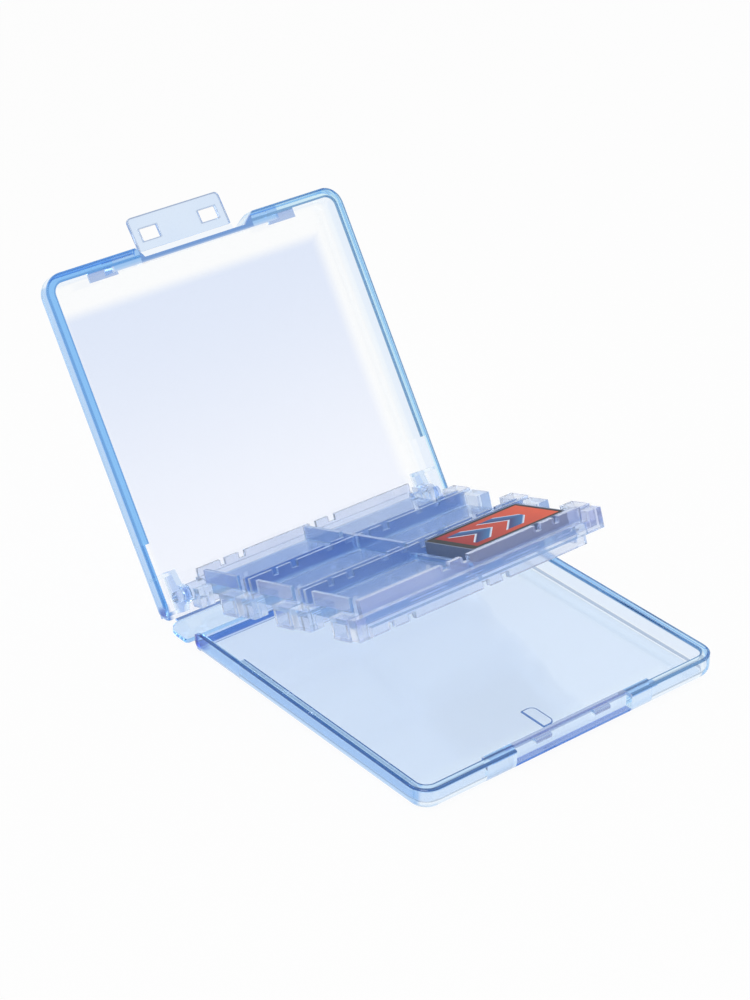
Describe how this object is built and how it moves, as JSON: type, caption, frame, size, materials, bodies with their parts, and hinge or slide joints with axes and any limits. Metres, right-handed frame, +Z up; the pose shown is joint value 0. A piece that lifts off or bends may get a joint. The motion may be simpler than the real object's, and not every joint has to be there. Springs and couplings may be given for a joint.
{
  "type": "game card case",
  "caption": "Flat clear plastic case that opens like a book, with a latch flap and a swing-up tray with pockets on both faces, holding a game card.",
  "frame": {"origin": "centre of the base's flat underside", "axes": "+X along the hinges to the right, +Y from the latch to the hinges, +Z up"},
  "size_m": [0.097, 0.1663, 0.0884],
  "materials": {
    "base_shell": "clear blue, polished",
    "base_hinge_web": "clear blue, thin",
    "spine_panel": "clear blue, polished",
    "lid_hinge_web": "clear blue, thin",
    "lid_shell": "clear blue, polished",
    "latch_flap": "clear, nearly colourless",
    "card_tray": "clear, slightly milky blue",
    "game_card": "fine matt",
    "card_label": "printed, satin"
  },
  "bodies": {
    "base": {"base_shell": "base_shell"},
    "base_web": {"base_hinge_web": "base_hinge_web"},
    "spine": {"spine_panel": "spine_panel"},
    "lid_web": {"lid_hinge_web": "lid_hinge_web"},
    "lid": {"lid_shell": "lid_shell"},
    "flap": {"latch_flap": "latch_flap"},
    "tray": {"card_tray": "card_tray"},
    "card": {"game_card": "game_card", "card_label": "card_label"}
  },
  "joints": [
    {"name": "case_fold", "type": "hinge", "parent": "base", "child": "spine", "pos_m": [0, 0.049, 0.00076], "axis": [1, 0, 0], "range_deg": [0, 90]},
    {"name": "base_web_bend", "type": "hinge", "parent": "base", "child": "base_web", "pos_m": [0, 0.0479, 0.0003], "axis": [1, 0, 0], "range_deg": [0, 45]},
    {"name": "lid_web_bend", "type": "hinge", "parent": "spine", "child": "lid_web", "pos_m": [0, 0.05969, 0.0003], "axis": [1, 0, 0], "range_deg": [0, 45]},
    {"name": "lid_fold", "type": "hinge", "parent": "spine", "child": "lid", "pos_m": [0, 0.05891, -0.00002], "axis": [1, 0, 0], "range_deg": [0, 32.64]},
    {"name": "tray_swing", "type": "hinge", "parent": "lid", "child": "tray", "pos_m": [0, 0.05956, 0.00844], "axis": [1, 0, 0], "range_deg": [-104.19, 0]},
    {"name": "latch_fold", "type": "hinge", "parent": "lid", "child": "flap", "pos_m": [0, 0.11148, 0.08088], "axis": [1, 0, 0], "range_deg": [0, 96]},
    {"name": "card_lift", "type": "slide", "parent": "tray", "child": "card", "axis": [0, 0.3165, 0.9486], "range_m": [0, 0.06]}
  ],
  "couplings": [
    {"joint": "base_web_bend", "follows": "case_fold", "ratio": 0.5},
    {"joint": "lid_web_bend", "follows": "case_fold", "ratio": 0.5},
    {"joint": "lid_fold", "follows": "case_fold", "ratio": 0.36263},
    {"joint": "tray_swing", "follows": "case_fold", "ratio": -1.1577}
  ]
}
